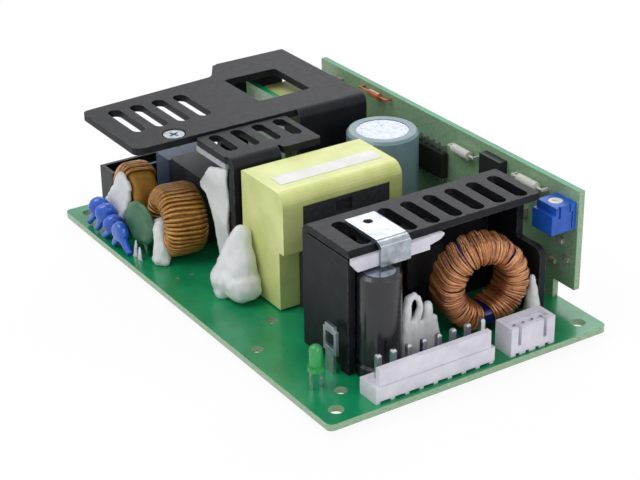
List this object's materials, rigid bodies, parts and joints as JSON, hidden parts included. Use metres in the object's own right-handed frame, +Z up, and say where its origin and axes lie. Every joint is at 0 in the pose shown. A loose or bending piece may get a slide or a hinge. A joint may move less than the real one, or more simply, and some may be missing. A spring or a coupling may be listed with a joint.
{
  "type": "open frame power supply",
  "caption": "Open frame switching power supply: green board with folded black heat sinks, taped transformer, wound ring chokes, capacitors, upright control board and pin headers.",
  "frame": {"origin": "centre of the footprint at the tips of the clipped leads under the board", "axes": "+X towards the output end, +Y towards the upright control board, +Z up"},
  "size_m": [0.127, 0.0762, 0.0366],
  "materials": {
    "board_green": "green solder mask over glass-epoxy laminate",
    "solder": "tin-lead solder",
    "black_anodised": "black anodised aluminium sheet",
    "bright_metal": "bright plated steel",
    "black_moulding": "black moulded epoxy",
    "white_plastic": "white moulded nylon",
    "ferrite": "black ferrite",
    "yellow_tape": "pale yellow polyester tape",
    "label": "white paper label",
    "capacitor_can": "aluminium",
    "grey_blue_sleeve": "grey-blue heat-shrink sleeve",
    "black_sleeve": "black heat-shrink sleeve with a blue-grey stripe",
    "blue_core": "blue coated powder core",
    "copper_strand": "enamelled copper strands",
    "mustard_core": "mustard coated ring core",
    "enamelled_wire": "enamelled copper wire",
    "dark_grey_box": "dark grey moulded case",
    "grey_blue_box": "grey-blue moulded case",
    "blue_coating": "blue dipped epoxy",
    "green_coating": "dark green dipped silicone",
    "white_cement": "white coating run down the leads",
    "green_lens": "green diffused lens",
    "header_pins": "tin plated brass",
    "trimmer_blue": "blue moulded case",
    "rotor_metal": "plated metal rotor",
    "red_glass": "red-brown glass and leads",
    "white_ceramic": "pale ceramic body",
    "chip_grey": "surface-mount parts",
    "white_silicone": "white silicone adhesive"
  },
  "bodies": {
    "supply": {"main_board": "board_green", "solder_joints": "solder", "control_board": "board_green", "pfc_board": "board_green", "rear_heatsink": "black_anodised", "rear_heatsink_screw": "bright_metal", "middle_heatsink": "black_anodised", "middle_transistors": "black_moulding", "insulating_pad": "white_plastic", "insulating_film": "white_plastic", "output_heatsink": "black_anodised", "rectifier_clip": "bright_metal", "clamp_bar": "white_plastic", "clamp_tab": "white_plastic", "output_rectifiers": "black_moulding", "transformer_core": "ferrite", "transformer_tape": "yellow_tape", "transformer_label": "label", "bulk_capacitor_can": "capacitor_can", "bulk_capacitor_sleeve": "grey_blue_sleeve", "output_capacitor_cans": "capacitor_can", "output_capacitor_sleeves": "black_sleeve", "output_choke_core": "blue_core", "output_choke_winding": "copper_strand", "pfc_choke": "yellow_tape", "front_choke_core": "mustard_core", "front_choke_winding": "enamelled_wire", "rear_choke_core": "mustard_core", "rear_choke_winding": "enamelled_wire", "small_choke": "enamelled_wire", "film_capacitor": "dark_grey_box", "small_film_capacitor": "grey_blue_box", "input_socket": "black_moulding", "blue_capacitor_1": "blue_coating", "blue_capacitor_2": "blue_coating", "blue_capacitor_3": "blue_coating", "blue_capacitor_4": "blue_coating", "surge_disc": "green_coating", "surge_feet": "white_cement", "led_body": "green_lens", "led_leads": "bright_metal", "ground_tab": "bright_metal", "output_header": "white_plastic", "output_pins": "header_pins", "signal_header": "white_plastic", "signal_pins": "header_pins", "trimmer_body": "trimmer_blue", "control_chip_large": "black_moulding", "chip_pins": "bright_metal", "control_chip_small": "black_moulding", "glass_diode": "red_glass", "white_resistor_1": "white_ceramic", "white_resistor_2": "white_ceramic", "chip_parts": "chip_grey", "silicone_input": "white_silicone", "silicone_transformer": "white_silicone", "silicone_output": "white_silicone", "silicone_side": "white_silicone"},
    "rotor": {"trimmer_rotor": "rotor_metal"}
  },
  "joints": [
    {"name": "trimmer_turn", "type": "hinge", "parent": "supply", "child": "rotor", "pos_m": [0.0488, 0.0334, 0.0299], "axis": [0, 0, 1], "range_deg": [-140, 140]}
  ]
}
